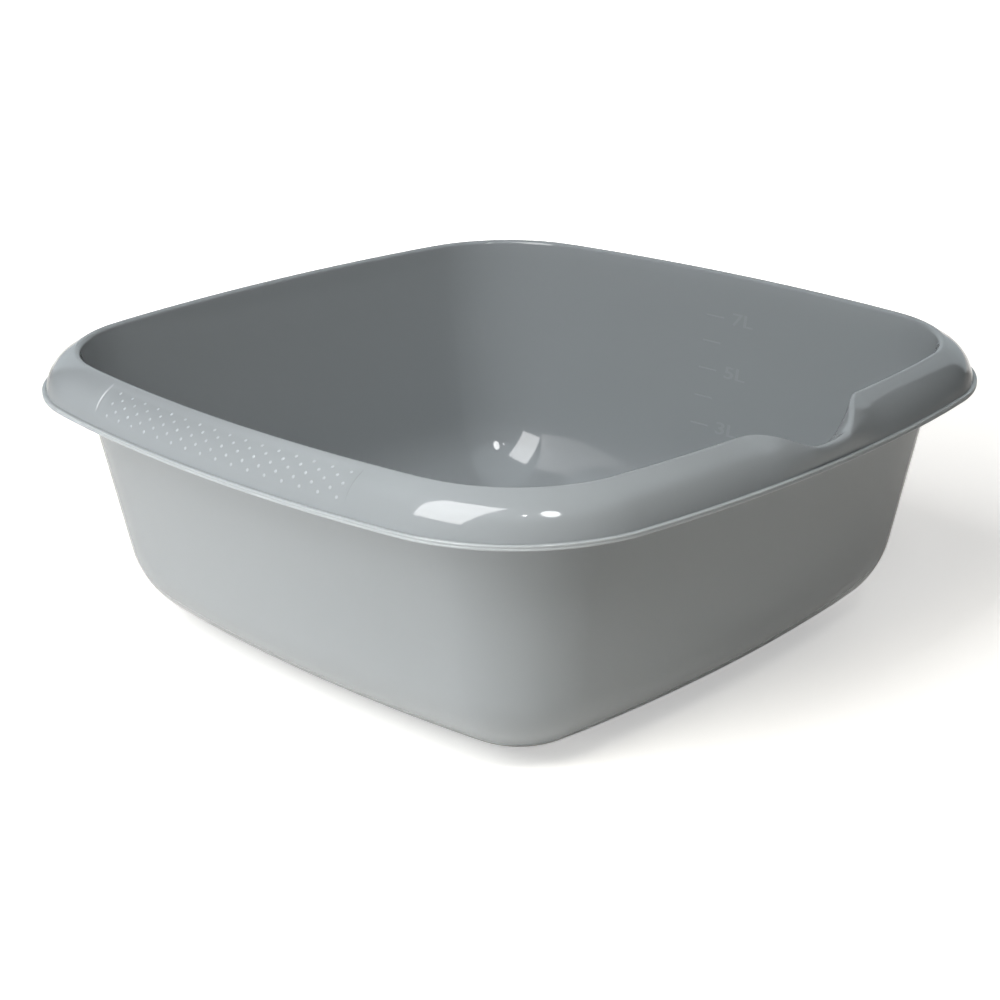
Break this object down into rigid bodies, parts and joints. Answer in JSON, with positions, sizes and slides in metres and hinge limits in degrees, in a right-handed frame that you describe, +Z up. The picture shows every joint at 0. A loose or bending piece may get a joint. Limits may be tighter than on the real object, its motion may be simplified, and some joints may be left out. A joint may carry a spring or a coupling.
{
  "type": "washing-up basin",
  "caption": "Square thin-walled plastic washing-up basin with a rolled rim, recessed dotted grips, a pour notch and a litre scale inside.",
  "frame": {"origin": "centre of the foot ring's underside, on the surface that the basin stands on", "axes": "+Z up; +X towards the side of the rim with the pour notch; the two grip panels face -Y and +Y"},
  "size_m": [0.337, 0.337, 0.1269],
  "materials": {
    "grey_polypropylene": "glossy injection-moulded polypropylene, cool grey"
  },
  "bodies": {
    "root": {"basin": "grey_polypropylene"}
  },
  "joints": []
}
